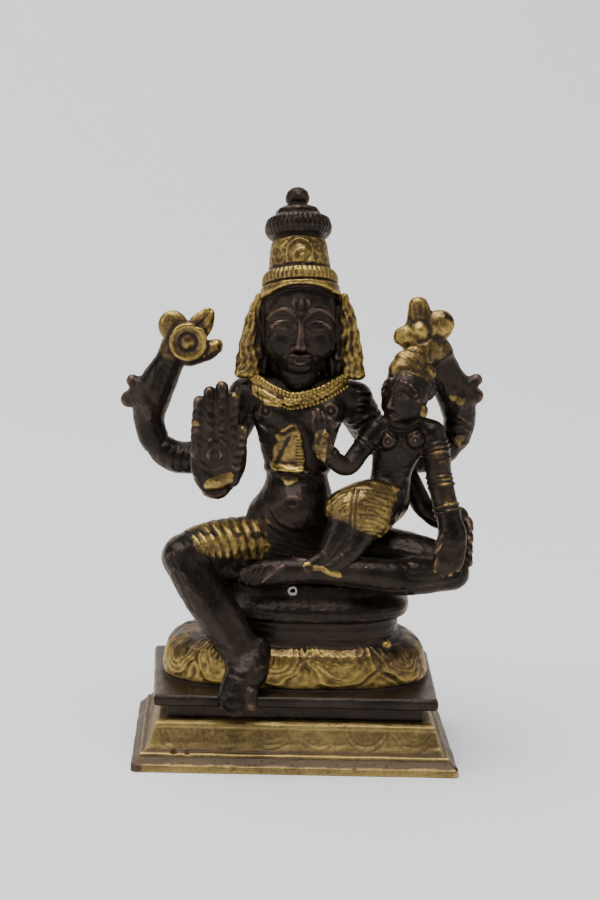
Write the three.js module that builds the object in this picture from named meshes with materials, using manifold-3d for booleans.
// A small cast-brass shrine image: a seated four-armed figure with his consort on his left thigh, on an
// oval lotus seat and a square-edged base plate, standing on a moulded brass plinth.
// Millimetres, +Z up, the front looks along -Y, and the origin is the middle of the plinth's underside.
// "Right" and "left" are the seated figure's own, so his right hand is at -X.
import * as THREE from "three";
import { mergeVertices } from "three/addons/utils/BufferGeometryUtils.js";
import Module from "manifold-3d";

const wasm = await Module();
wasm.setup();

// Driving dimensions
const PLINTH_WIDTH = 65;
const PLINTH_DEPTH = 45;
const PLINTH_HEIGHT = 9.5;
const PLATE_WIDTH = 56.5;
const PLATE_DEPTH = 37;
const PLATE_TOP = 14.8;
const NECK_INSET = 2.8;
const BACK_TAPER = 1.4;
const LOTUS_TOP = 23.6;
const LOTUS_PETALS = 13;
const SEAT_TOP = 33;

const BRASS = { color: 0x9a7a3c, roughness: 0.5, metalness: 1 };
const DARK = { color: 0x3a2c28, roughness: 0.42, metalness: 1 };

// A closed geometry as a solid that can be joined or cut.
function solid(geometry) {
  const g = geometry.index ? geometry.toNonIndexed() : geometry.clone();
  for (const name of Object.keys(g.attributes)) if (name !== "position") g.deleteAttribute(name);
  const merged = mergeVertices(g, 1e-4);
  const made = new wasm.Manifold(
    new wasm.Mesh({
      numProp: 3,
      vertProperties: new Float32Array(merged.attributes.position.array),
      triVerts: new Uint32Array(merged.index.array),
    }),
  );
  if (made.volume() < 0) throw new Error("a geometry is inside out");
  return made;
}

// Joins geometries into one solid.
function joined(geometries) {
  let whole = solid(geometries[0]);
  for (const g of geometries.slice(1)) whole = whole.add(solid(g));
  return whole;
}

function geometryOf(manifold) {
  const m = manifold.getMesh();
  const position = new Float32Array(m.numVert * 3);
  for (let i = 0; i < m.numVert; i++) {
    for (let k = 0; k < 3; k++) position[i * 3 + k] = m.vertProperties[i * m.numProp + k];
  }
  const g = new THREE.BufferGeometry();
  g.setAttribute("position", new THREE.BufferAttribute(position, 3));
  g.setIndex(new THREE.BufferAttribute(new Uint32Array(m.triVerts), 1));
  return g;
}

// A round-ended form drawn along a smooth line. Each point of the line is [x, y, z, radius, breadth]:
// the radius is measured towards `face`, and across it the form is `breadth` times as wide.
// `ribs` is [first, last, height]: between those rows every second row stands proud.
// `caps` is the number of rows that round each end off; one row is enough for an end that is buried.
function drawn(line, { sides = 8, steps = 2, face = [0, 1, 0], ribs = null, caps = 2 } = {}) {
  const body = steps * (line.length - 1);
  const rows = body + 2 * caps;
  const through = (points) => new THREE.CatmullRomCurve3(points, false, "catmullrom", 0.5);
  const middle = through(line.map(([x, y, z]) => new THREE.Vector3(x, y, z)));
  const girth = through(line.map(([, , , radius, breadth = 1]) => new THREE.Vector3(radius, breadth, 0)));
  const towards = new THREE.Vector3(...face);
  const g = new THREE.SphereGeometry(1, sides, rows);
  const at = g.attributes.position;
  for (let row = 0; row <= rows; row++) {
    const inBody = Math.min(Math.max(row - caps, 0), body) / body;
    const end = row < caps ? -1 : row > rows - caps ? 1 : 0;
    const turn = end < 0 ? (row / caps) * (Math.PI / 2) : ((rows - row) / caps) * (Math.PI / 2);
    const centre = middle.getPoint(inBody);
    const along = middle.getTangent(Math.min(Math.max(inBody, 0.001), 0.999));
    const size = girth.getPoint(inBody);
    const across = new THREE.Vector3().crossVectors(along, towards).normalize();
    const depth = new THREE.Vector3().crossVectors(across, along).normalize();
    const ribbed = ribs && !end && row >= ribs[0] && row <= ribs[1];
    const rib = ribbed ? (row % 2 ? ribs[2] : -ribs[2]) : 0;
    const radius = size.x * (end ? Math.sin(turn) : 1) * (1 + rib);
    if (end) centre.addScaledVector(along, end * size.x * Math.cos(turn) * (caps > 1 ? 1 : 0.4));
    for (let side = 0; side <= sides; side++) {
      const angle = (side / sides) * 2 * Math.PI;
      const p = centre
        .clone()
        .addScaledVector(across, Math.cos(angle) * radius * size.y)
        .addScaledVector(depth, Math.sin(angle) * radius);
      at.setXYZ(row * (sides + 1) + side, p.x, p.y, p.z);
    }
  }
  return g;
}

// An egg-shaped mass, turned by angles in degrees about X, Y and Z.
function mass([x, y, z], [a, b, c], { turn = [0, 0, 0], sides = 8, rows = 6 } = {}) {
  const g = new THREE.SphereGeometry(1, sides, rows);
  g.rotateX(Math.PI / 2);
  g.scale(a, b, c);
  const [rx, ry, rz] = turn.map((d) => THREE.MathUtils.degToRad(d));
  g.rotateX(rx);
  g.rotateY(ry);
  g.rotateZ(rz);
  g.translate(x, y, z);
  return g;
}

// A rectangular block with a moulded edge. The profile is a list of [inset, height] from the bottom up.
function mouldedBlock(width, depth, profile) {
  const g = new THREE.BoxGeometry(2, 2, 1, 1, 1, profile.length - 1);
  const at = g.attributes.position;
  for (let i = 0; i < at.count; i++) {
    const level = Math.round((at.getZ(i) + 0.5) * (profile.length - 1));
    const [inset, height] = profile[level];
    at.setXYZ(i, at.getX(i) * (width / 2 - inset), at.getY(i) * (depth / 2 - inset), height);
  }
  return g;
}

// A turned form that stands on `foot`, leaning back and sideways by angles in degrees.
// The profile is a list of [radius, height]; `shape` swells the radius round the form, and `arch`
// lifts the front of each level, as on a headdress that is seen from a little below.
function turned(profile, foot, { sides = 24, lean = 0, side = 0, deep = 1, arch = 0, shape = null } = {}) {
  const g = new THREE.LatheGeometry(profile.map(([r, h]) => new THREE.Vector2(r, h)), sides);
  g.rotateX(Math.PI / 2);
  const at = g.attributes.position;
  for (let i = 0; i < at.count; i++) {
    const angle = Math.atan2(at.getY(i), at.getX(i));
    const swell = shape ? shape(angle, at.getZ(i)) : 1;
    const y = at.getY(i) * swell * deep;
    at.setXYZ(i, at.getX(i) * swell, y, at.getZ(i) - arch * y);
  }
  g.rotateX(THREE.MathUtils.degToRad(-lean));
  g.rotateY(THREE.MathUtils.degToRad(side));
  g.translate(...foot);
  return g;
}

// The swell that makes a round plan into an oval with flat sides
function squared(angle, power) {
  const across = Math.pow(Math.abs(Math.cos(angle)), power);
  const along = Math.pow(Math.abs(Math.sin(angle)), power);
  return Math.pow(across + along, -1 / power);
}

// A closed ring of a round bead section, lying round an oval at `centre`.
function hoop(centre, [a, b], bead, { turn = [0, 0, 0], sides = 4, steps = 12 } = {}) {
  const g = new THREE.TorusGeometry(1, 0.1, sides, steps);
  const at = g.attributes.position;
  for (let i = 0; i < at.count; i++) {
    const angle = Math.atan2(at.getY(i), at.getX(i));
    const out = (Math.hypot(at.getX(i), at.getY(i)) - 1) * 10 * bead;
    at.setXYZ(i, Math.cos(angle) * (a + out), Math.sin(angle) * (b + out), at.getZ(i) * 10 * bead);
  }
  const [rx, ry, rz] = turn.map((d) => THREE.MathUtils.degToRad(d));
  g.rotateX(rx);
  g.rotateY(ry);
  g.rotateZ(rz);
  g.translate(...centre);
  return g;
}

// Plinth: a moulded block with a square foot, a sloped band, a hollow face and a rounded bead under
// its ledge.
function plinth() {
  const block = mouldedBlock(PLINTH_WIDTH, PLINTH_DEPTH, [
    [0, 0],
    [0, 1.4],
    [0.4, 1.7],
    [1.7, 2.9],
    [1.9, 3.5],
    [2.6, 3.7],
    [3.6, 5.4],
    [4.3, 7.9],
    [4.1, 8.3],
    [4.5, 9.1],
    [5.5, PLINTH_HEIGHT],
  ]);
  const at = block.attributes.position;
  for (let i = 0; i < at.count; i++) {
    at.setX(i, at.getX(i) * (1 - (BACK_TAPER / PLINTH_WIDTH) * (1 + (2 * at.getY(i)) / PLINTH_DEPTH)));
  }
  return block;
}

// Base plate: a plain slab that overhangs a square neck.
function basePlate() {
  return mouldedBlock(PLATE_WIDTH, PLATE_DEPTH, [
    [NECK_INSET, PLINTH_HEIGHT],
    [NECK_INSET, 12.2],
    [0.4, 12.5],
    [0, 12.9],
    [0, 14.3],
    [0.5, PLATE_TOP],
  ]);
}

// Lotus: an oval cushion of drooping petals.
function lotus() {
  const petal = (angle, h) => 0.035 * Math.cos(LOTUS_PETALS * angle) * (h < 22 ? 1 : 0.3);
  const swell = (angle, h) => squared(angle, 2.7) * (1 + petal(angle, h));
  return turned(
    [
      [0, PLATE_TOP - 0.5],
      [24.6, PLATE_TOP - 0.5],
      [26.2, 16.6],
      [26.2, 19.2],
      [23.8, 21.9],
      [19, LOTUS_TOP],
      [0, LOTUS_TOP],
    ],
    [0.2, 1.6, 0],
    { sides: LOTUS_PETALS * 2, deep: 0.58, shape: swell },
  );
}

// Seat: an oval drum under a wider ledge.
function seat() {
  return turned(
    [
      [0, LOTUS_TOP - 1.8],
      [19.2, LOTUS_TOP - 1.8],
      [18.8, 27.8],
      [20.4, 28.7],
      [20.6, 31],
      [18.2, SEAT_TOP],
      [16.8, 35.6],
      [0, 36],
    ],
    [2, 1.8, 0],
    { sides: 16, deep: 0.67, shape: (angle) => squared(angle, 2.8) },
  );
}

// Hand: a palm with its fingers. Each finger is [base, tip, radius].
function hand(palm, fingers) {
  return [
    drawn(palm, { steps: 1 }),
    ...fingers.map(([base, tip, r]) => drawn([[...base, r], [...tip, r * 0.8]], { sides: 5, steps: 1 })),
  ];
}

// God's trunk, belly, neck and girdle
function trunk() {
  return [
    drawn(
      [
        [0.2, 2.6, 38.5, 6.4, 1.4],
        [-0.2, 1.6, 44.5, 6.2, 1.46],
        [-0.4, 1.4, 50, 5.5, 1.36],
        [-0.5, 1.6, 55.4, 4.7, 1.32],
        [-0.6, 1.6, 61, 4.8, 1.52],
        [-0.7, 1.5, 66.6, 5.0, 1.78],
        [-0.6, 2, 70.6, 4.5, 2.4],
      ],
      { sides: 10, steps: 1, caps: 1 },
    ),
    drawn(
      [
        [-11.4, 2.4, 71.8, 3.2],
        [-5.6, 1.6, 72.8, 3.7],
        [4.6, 1.6, 72.6, 3.7],
        [11.2, 2.6, 71.4, 3.2],
      ],
      { sides: 6, steps: 1, caps: 1 },
    ),
    mass([-0.6, -1.8, 49.2], [6.6, 5.0, 5.9], { sides: 8, rows: 5 }),
    drawn([[-0.7, 1.8, 72.5, 4.5], [-0.8, 0.8, 80, 4.2]], { steps: 1, caps: 1 }),
    mass([-6.4, -2.6, 68.8], [3.3, 2.2, 3.0], { sides: 7, rows: 4 }),
    mass([4.9, -2.6, 69.2], [3.3, 2.2, 3.0], { sides: 7, rows: 4 }),
  ];
}

// Head with a calm, even face: eyes at half height, straight nose, full lips, long ears.
// A small head has only its skull and nose.
function head({ centre: [x, y, z], size: s, yaw = 0, nod = 0, small = false }) {
  const at = (px, py, pz) => {
    const v = new THREE.Vector3(px, py, pz).multiplyScalar(s);
    v.applyAxisAngle(new THREE.Vector3(1, 0, 0), THREE.MathUtils.degToRad(nod));
    v.applyAxisAngle(new THREE.Vector3(0, 0, 1), THREE.MathUtils.degToRad(yaw));
    return [v.x + x, v.y + y, v.z + z];
  };
  const piece = (c, r, sides = 6, rows = 4) => {
    return mass(at(...c), r.map((k) => k * s), { turn: [nod, 0, yaw], sides, rows });
  };
  const features = [
    piece([0, -0.14, -0.45], [0.8, 0.76, 0.68], 10, 6),
    drawn(
      [
        [...at(-0.98, 0, 0.3), 0.15 * s],
        [...at(-1.02, 0, -0.6), 0.14 * s],
      ],
      { sides: 5, steps: 1 },
    ),
    drawn(
      [
        [...at(0.98, 0, 0.3), 0.15 * s],
        [...at(1.02, 0, -0.6), 0.14 * s],
      ],
      { sides: 5, steps: 1 },
    ),
    piece([-0.4, -0.8, 0.12], [0.25, 0.13, 0.12]),
    piece([0.4, -0.8, 0.12], [0.25, 0.13, 0.12]),
    piece([0, -0.86, -0.6], [0.3, 0.14, 0.13]),
  ];
  return [
    piece([0, 0, 0.08], [0.98, 0.92, 1.08], small ? 9 : 12, small ? 6 : 7),
    drawn(
      [
        [...at(0, -0.88, 0.25), 0.09 * s],
        [...at(0, -1.0, -0.27), 0.17 * s],
      ],
      { sides: 5, steps: 1 },
    ),
    ...(small ? [] : features),
  ];
}

// Tall crown: diadem band, beaded rim, tapered body, fluted ring, cap and bud
function crown() {
  const flutes = 10;
  return [
    turned(
      [
        [0, -1],
        [7.7, -1],
        [8.0, 0.9],
        [7.5, 2.3],
        [6.9, 4.1],
        [6.2, 4.7],
        [5.6, 10.1],
        [4.9, 10.6],
        [6.4, 11.9],
        [6.4, 14.3],
        [4.5, 16.3],
        [2.4, 17.9],
        [2.3, 19.4],
        [1.3, 20.6],
        [0, 20.9],
      ],
      [-0.95, 0.7, 92.7],
      {
        sides: flutes * 2,
        lean: 12,
        side: -3.2,
        arch: 0.25,
        shape: (angle, h) => 1 + (h > 11 && h < 16 ? 0.03 * Math.cos(flutes * angle) : 0),
      },
    ),
    mass([-1.4, -4.9, 100.8], [2.4, 1.2, 3.0], { turn: [12, 0, 0], rows: 5 }),
  ];
}

// Long ear ornaments and the hair behind
function sideLocks() {
  return [
    drawn(
      [
        [-9.7, 1.4, 90, 1.1],
        [-10.8, 1.2, 86, 1.3],
        [-11, 0.9, 82, 1.4],
        [-11.4, 0.5, 77.7, 1.9],
      ],
      { sides: 6, steps: 1 },
    ),
    drawn(
      [
        [7.9, 1.4, 90.6, 1.1],
        [8.9, 1.2, 86.5, 1.3],
        [9.3, 0.9, 82, 1.5],
        [9.6, 0.6, 77.8, 1.9],
      ],
      { sides: 6, steps: 1 },
    ),
    drawn(
      [
        [-2.4, 5.2, 90, 4.6],
        [-2, 6.0, 82, 5.0, 1.3],
        [-0.9, 5.2, 73, 4.0, 1.5],
      ],
      { sides: 7, steps: 1, caps: 1 },
    ),
  ];
}

// Broad collar with a second tier, two chest cords and a waist band
function ornaments() {
  return [
    drawn(
      [
        [-9.8, 0.4, 75.6, 0.8, 1.5],
        [-6.6, -2.4, 73.6, 0.9, 1.9],
        [-1.9, -3.8, 72.2, 1.0, 2.0],
        [3.6, -3, 73.4, 0.9, 1.9],
        [8.4, 0.2, 75.9, 0.8, 1.5],
      ],
      { sides: 6, steps: 1, face: [0, 1, 0.2] },
    ),
    drawn(
      [
        [-9, -1.4, 72, 0.7, 1.3],
        [-5.6, -3.4, 70.8, 0.8, 1.4],
        [-2.4, -4.2, 70.2, 0.8, 1.2],
      ],
      { sides: 6, steps: 1, face: [0, 1, 0.2] },
    ),
    drawn(
      [
        [-3.6, -4.3, 66.6, 0.8, 1.2],
        [-4.8, -4.3, 61.8, 0.9, 1.5],
        [-5.6, -3.6, 58, 0.8, 1.2],
      ],
      { sides: 6, steps: 1 },
    ),
    drawn([[-2, -4.3, 66.2, 0.8, 1.2], [-1, -4.4, 61.6, 1.0, 1.6], [-0.8, -4.2, 57.6, 1.0, 2.0]], {
      sides: 5,
      steps: 6,
      ribs: [2, 14, 0.1],
    }),
    hoop([-0.5, 1.5, 56], [6.5, 5.1], 0.75, { turn: [-4, 0, 0], steps: 14 }),
  ];
}

// Right front arm, raised with the open palm to the viewer
function blessingArm() {
  return [
    drawn(
      [
        [-11.4, 2.6, 70.8, 3.4],
        [-14.6, 3.4, 65, 3.0],
        [-16.6, 3.2, 59.4, 2.9],
        [-17, 0, 56.6, 2.7],
        [-16.9, -4.8, 56.6, 2.6],
      ],
      { steps: 1, caps: 1 },
    ),
    ...hand(
      [
        [-16.9, -6.8, 54.6, 2.3, 1.5],
        [-16.6, -7.6, 57.6, 2.2, 2.25],
        [-16.3, -8, 62, 2.0, 2.8],
        [-16.6, -8.1, 66.6, 1.7, 2.9],
      ],
      [
        [[-20.4, -8.2, 64], [-20.7, -8.0, 72.4], 1.3],
        [[-18.2, -8.7, 64], [-18.5, -8.4, 74.2], 1.4],
        [[-16.0, -8.8, 64], [-16.2, -8.5, 74.8], 1.4],
        [[-13.8, -8.6, 64], [-14.0, -8.3, 73.6], 1.3],
        [[-13.6, -8.8, 57.6], [-12.6, -9.1, 68.4], 1.4],
      ],
    ),
  ];
}

// A rear arm goes down and out from the shoulder, up round the elbow, and in to the raised hand.
const RIGHT_REAR_ARM = [
  [-10, 5, 69.5, 3.0],
  [-15.5, 5, 60.5, 3.3],
  [-23, 5.2, 57.6, 3.3],
  [-28.2, 5.6, 59.8, 3.0],
  [-30.4, 6, 65, 3.0],
  [-29.5, 5.8, 70.4, 3.3],
  [-27.3, 4.8, 75.6, 3.2],
  [-26, 4, 79.2, 3.2],
];
const LEFT_REAR_ARM = [
  [9, 5, 69.8, 3.0],
  [16, 6.2, 61.5, 3.1],
  [24.5, 6.8, 58.2, 3.0],
  [30.4, 6.6, 61.4, 2.8],
  [32.6, 6.4, 66.6, 2.8],
  [31.4, 6.2, 72, 2.9],
  [28.8, 5.4, 76.6, 2.8],
  [26.8, 4.4, 81.4, 2.9],
];

// Knotted sash ends at a rear elbow: an upper and a lower loop
function elbowKnot(inner, upper, lower) {
  return [
    drawn([[...inner, 2.2], [...upper, 1.3]], { sides: 6, steps: 1 }),
    drawn([[...inner, 2.4], [...lower, 1.6]], { sides: 6, steps: 1 }),
  ];
}

// Discus with flame tufts, in the right rear hand
function discus() {
  const wheel = turned(
    [
      [0, -1.3],
      [3.7, -1.1],
      [3.4, 1.0],
      [2.2, 0.9],
      [1.6, 0.3],
      [1.2, 1.3],
      [0, 1.7],
    ],
    [0, 0, 0],
    { sides: 11 },
  );
  wheel.rotateX(Math.PI / 2);
  wheel.translate(-23, 2.2, 82.2);
  return [
    wheel,
    mass([-26, 3.4, 84.9], [3.0, 1.6, 3.3], { rows: 5 }),
    drawn([[-21.2, 3.4, 83.6, 1.7], [-18.9, 3.4, 87.7, 0.9, 1.2]], { sides: 7, steps: 1 }),
    drawn([[-23.2, 3.6, 78.8, 2.4], [-18.6, 3.4, 80.6, 1.7]], { sides: 7, steps: 1 }),
  ];
}

// Conch with flame tufts, in the left rear hand
function conch() {
  return [
    mass([23.3, 1.4, 85.5], [1.9, 1.6, 1.8]),
    drawn([[23.8, 3.4, 85, 2.5], [22.6, 3.4, 89.6, 1.9]], { sides: 8, steps: 1 }),
    drawn([[25.8, 3.6, 84.6, 2.8], [28.2, 3.4, 87, 2.4]], { sides: 8, steps: 1 }),
    drawn([[23.6, 2.6, 83.4, 2.4], [19.8, 2.6, 84, 1.4]], { sides: 7, steps: 1 }),
    drawn([[24.2, 2.4, 81.6, 1.6], [21.4, 2.2, 82.2, 1.2]], { sides: 6, steps: 1 }),
    drawn([[25, 2.6, 82, 2.2], [23.2, 1.2, 77, 2.0]], { sides: 6, steps: 1, caps: 1 }),
  ];
}

// Right leg, hanging: thigh in pleated cloth, shin, foot over the plate's edge
function hangingLeg() {
  return [
    drawn(
      [
        [-3.5, 0.8, 41.2, 5.4],
        [-11, -2.4, 42.2, 5.1],
        [-17.6, -5.4, 42, 4.8],
        [-22.4, -7.8, 40.6, 4.4],
      ],
      { steps: 5, ribs: [4, 14, 0.035] },
    ),
    drawn(
      [
        [-22.6, -8.3, 40.2, 4.3],
        [-19.6, -10, 35.2, 4.7],
        [-15.9, -11.6, 30, 4.8],
        [-12.1, -13.2, 24.8, 4.4],
        [-10, -14.8, 20.6, 4.1],
      ],
      { steps: 1, caps: 1 },
    ),
    drawn(
      [
        [-10.4, -15.4, 20, 3.9],
        [-11.7, -18.4, 16.8, 3.3, 1.15],
        [-12.4, -20.3, 14.4, 2.3, 1.5],
        [-12.5, -20.9, 12.6, 1.7, 1.4],
      ],
      { steps: 1 },
    ),
  ];
}

// Left leg, folded flat on the seat with its foot in front, and the cushion that fills the lap
function foldedLeg() {
  return [
    mass([-7.5, -2, 33.5], [8.5, 6.5, 4.2], { sides: 7, rows: 5 }),
    drawn(
      [
        [3.5, 1.4, 41.4, 5.4],
        [16, -1, 41, 5.1],
        [24.6, -2.8, 40, 4.5],
        [30.4, -4, 38.6, 3.9],
      ],
      { steps: 1 },
    ),
    drawn(
      [
        [31, -5.4, 37.4, 3.3],
        [20.6, -9, 37.4, 3.7],
        [10.4, -10.8, 38.8, 3.2],
        [2, -11.4, 39.2, 2.7],
      ],
      { steps: 1, caps: 1 },
    ),
    drawn(
      [
        [2.6, -11.2, 39.2, 2.6],
        [-3.6, -11.8, 38.8, 2.6, 1.1],
        [-8, -11.6, 37.8, 2.1, 1.3],
        [-10.8, -11.0, 37.2, 1.4, 1.5],
      ],
      { sides: 8, steps: 1 },
    ),
  ];
}

// Left front arm, round the consort's back, with the fingers over his own knee
function embracingArm() {
  return [
    drawn(
      [
        [10.6, 2.8, 70.8, 3.4],
        [14.2, 3.6, 65, 3.1],
        [18, 4, 60, 2.9],
        [22.2, 3, 54.2, 2.4],
        [25.6, 1.4, 49, 2.1],
        [29.4, 0.2, 47.2, 2.2],
        [32.4, -0.6, 48.4, 2.0],
      ],
      { sides: 7, steps: 1, caps: 1 },
    ),
    drawn(
      [
        [32.8, -1.2, 47.6, 1.6],
        [33.5, -2.2, 43.6, 1.7],
        [33, -3.2, 40.4, 1.5],
      ],
      { sides: 6, steps: 3, ribs: [2, 8, 0.1] },
    ),
  ];
}

// Consort: seated sideways, her head turned up to him
function consortBody() {
  return [
    drawn(
      [
        [17.8, -2.6, 51.6, 4.2, 1.02],
        [18.3, -2.2, 57.6, 3.1, 1.22],
        [19.4, -2.6, 62.8, 3.3, 1.5],
        [20, -2.4, 65.8, 2.3, 2.5],
      ],
      { steps: 1, caps: 1 },
    ),
    drawn(
      [
        [14.6, -3.2, 66, 1.9],
        [20.2, -2.4, 67.6, 2.4],
        [25.8, -2.2, 66, 2.1],
      ],
      { sides: 6, steps: 1, caps: 1 },
    ),
    mass([17.2, -5.2, 64.5], [2.1, 1.9, 2.0], { sides: 7, rows: 4 }),
    mass([23.2, -4.6, 64.6], [2.1, 1.9, 2.0], { sides: 7, rows: 4 }),
    drawn([[20.2, -2.2, 67, 2.4], [20.2, -2.6, 70.4, 2.2]], { sides: 6, steps: 1, caps: 1 }),
    ...head({ centre: [20.4, -2.8, 73.2], size: 4.9, yaw: -38, nod: -8, small: true }),
    mass([21.4, -1.8, 76.4], [4.9, 4.3, 2.6], { turn: [0, 14, 0], sides: 9, rows: 5 }),
    drawn([[20.6, -1.8, 77.6, 2.6], [20.8, -1.2, 79.4, 1.4]], { sides: 6, steps: 1 }),
    mass([24.6, 0, 74.6], [2.4, 2.4, 3.2], { sides: 7, rows: 4 }),
  ];
}

function consortArms() {
  return [
    drawn(
      [
        [26, -2.3, 65.4, 2.6],
        [27.3, -3, 61, 2.4],
        [27.8, -3.5, 57, 2.3],
        [28.8, -4.7, 53.2, 2.4],
        [29.8, -6.2, 49.6, 2.3],
      ],
      { sides: 7, steps: 1, caps: 1 },
    ),
    ...hand(
      [[29.9, -6.4, 49.4, 2.3], [30.6, -7.6, 45.8, 2.3, 1.2], [29.9, -8.4, 42.4, 1.8, 1.5]],
      [
        [[31.2, -8.6, 42.2], [30.6, -9.4, 39.2], 1.1],
        [[28.9, -8.8, 42], [28.7, -9.8, 38.4], 1.1],
        [[28.8, -8.8, 46.8], [27.2, -9.6, 43.6], 0.95],
      ],
    ),
    drawn(
      [
        [14.2, -3.6, 66, 2.3],
        [11.8, -5.2, 62.6, 2.1],
        [9.2, -7, 59.4, 2.1],
        [6.6, -8.4, 60.8, 1.9],
        [4.5, -9.4, 63.4, 1.6],
      ],
      { sides: 7, steps: 1, caps: 1 },
    ),
    drawn(
      [
        [4, -10.2, 66.4, 1.7, 1.15],
        [4.1, -10.4, 63.8, 1.8, 1.15],
        [4.3, -10, 61.2, 1.0],
      ],
      { sides: 7, steps: 1 },
    ),
  ];
}

// Her legs hang side by side over his shin, under a pleated skirt that ends at the knees.
function consortLegs() {
  return [
    drawn(
      [
        [16.8, -3.6, 52, 4.4],
        [12.8, -6.6, 51.7, 4.8],
        [9.4, -8.2, 50.6, 4.4],
      ],
      { steps: 5, ribs: [3, 12, 0.03] },
    ),
    drawn(
      [
        [16, -5, 50.2, 4.1],
        [14.6, -7.2, 48.8, 4.1],
        [13.2, -8.6, 47.6, 3.7],
      ],
      { sides: 7, steps: 1 },
    ),
    drawn(
      [
        [8.2, -9.6, 47.6, 3.0],
        [6.6, -10.9, 44.4, 2.4],
        [4.8, -12, 41.9, 1.8],
        [1.6, -13.2, 39.9, 1.2, 1.3],
      ],
      { steps: 1 },
    ),
    drawn(
      [
        [12, -9.8, 46, 2.8],
        [10.4, -11.2, 43.4, 2.2],
        [8.4, -12.4, 41.4, 1.6, 1.2],
      ],
      { sides: 7, steps: 1 },
    ),
  ];
}

function castingOf(forms, name, material) {
  const mesh = new THREE.Mesh(geometryOf(joined(forms)), new THREE.MeshStandardMaterial(material));
  mesh.name = name;
  return mesh;
}

const image = new THREE.Group();
image.add(
  castingOf([plinth()], "plinth", BRASS),
  castingOf(
    [
      basePlate(),
      lotus(),
      seat(),
      ...trunk(),
      ...head({ centre: [-0.9, 0.2, 87], size: 7.9 }),
      ...crown(),
      ...sideLocks(),
      ...ornaments(),
      ...blessingArm(),
      drawn(RIGHT_REAR_ARM, { sides: 7, steps: 1, caps: 1 }),
      ...elbowKnot([-31.4, 5.8, 71], [-33.9, 6, 73], [-34.6, 6, 69.4]),
      ...discus(),
      drawn(LEFT_REAR_ARM, { sides: 7, steps: 1, caps: 1 }),
      ...elbowKnot([32.4, 6.2, 72.6], [35.2, 6.4, 74.6], [35, 6.4, 71.8]),
      ...conch(),
      ...hangingLeg(),
      ...foldedLeg(),
      ...embracingArm(),
      ...consortBody(),
      ...consortArms(),
      ...consortLegs(),
    ],
    "figure_group",
    DARK,
  ),
);

export default image;
